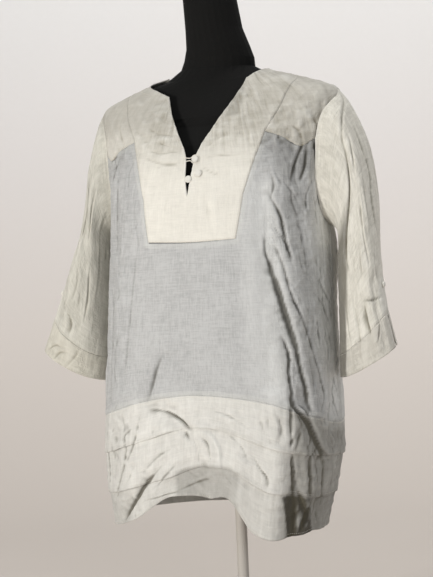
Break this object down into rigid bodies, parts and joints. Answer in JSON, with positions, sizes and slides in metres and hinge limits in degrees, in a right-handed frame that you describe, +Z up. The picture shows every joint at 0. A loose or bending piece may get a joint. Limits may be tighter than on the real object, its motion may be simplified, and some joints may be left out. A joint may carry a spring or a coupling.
{
  "type": "linen tunic blouse on a limbless dress form with stand",
  "caption": "Loose sheer linen tunic blouse with a doubled front bib, slit neck, tiered hem and short split-cuff sleeves, worn by a black limbless dress form on a round-based pole stand.",
  "frame": {"origin": "on the floor under the middle of the whole, at the base plate's underside height", "axes": "+Z up, the blouse's front faces -Y, the wearer's left is +X"},
  "size_m": [0.594, 0.2844, 1.017],
  "materials": {
    "panel_linen": "sheer plain-weave linen, matt",
    "doubled_linen": "doubled plain-weave linen, matt",
    "sleeve_linen": "sheer plain-weave linen, matt",
    "covered_button": "linen-covered button, matt",
    "black_form": "black jersey cover, matt",
    "pale_metal": "pale warm grey powder coat, satin"
  },
  "bodies": {
    "root": {"back_panel": "panel_linen", "back_yoke": "doubled_linen", "bib": "doubled_linen", "button_loop": "covered_button", "button_low": "covered_button", "button_side": "covered_button", "button_top": "covered_button", "cuff_button_left": "covered_button", "cuff_button_right": "covered_button", "cuff_left": "doubled_linen", "cuff_right": "doubled_linen", "form": "black_form", "front_panel": "panel_linen", "front_yoke_left": "doubled_linen", "front_yoke_right": "doubled_linen", "sleeve_left": "sleeve_linen", "sleeve_right": "sleeve_linen", "slit_facing_left": "doubled_linen", "slit_facing_right": "doubled_linen", "stand_base": "pale_metal", "stand_pole": "pale_metal", "stand_socket": "pale_metal", "tier_1_back": "doubled_linen", "tier_1_front": "doubled_linen", "tier_2_back": "doubled_linen", "tier_2_front": "doubled_linen", "tier_3_back": "doubled_linen", "tier_3_front": "doubled_linen"}
  },
  "joints": []
}
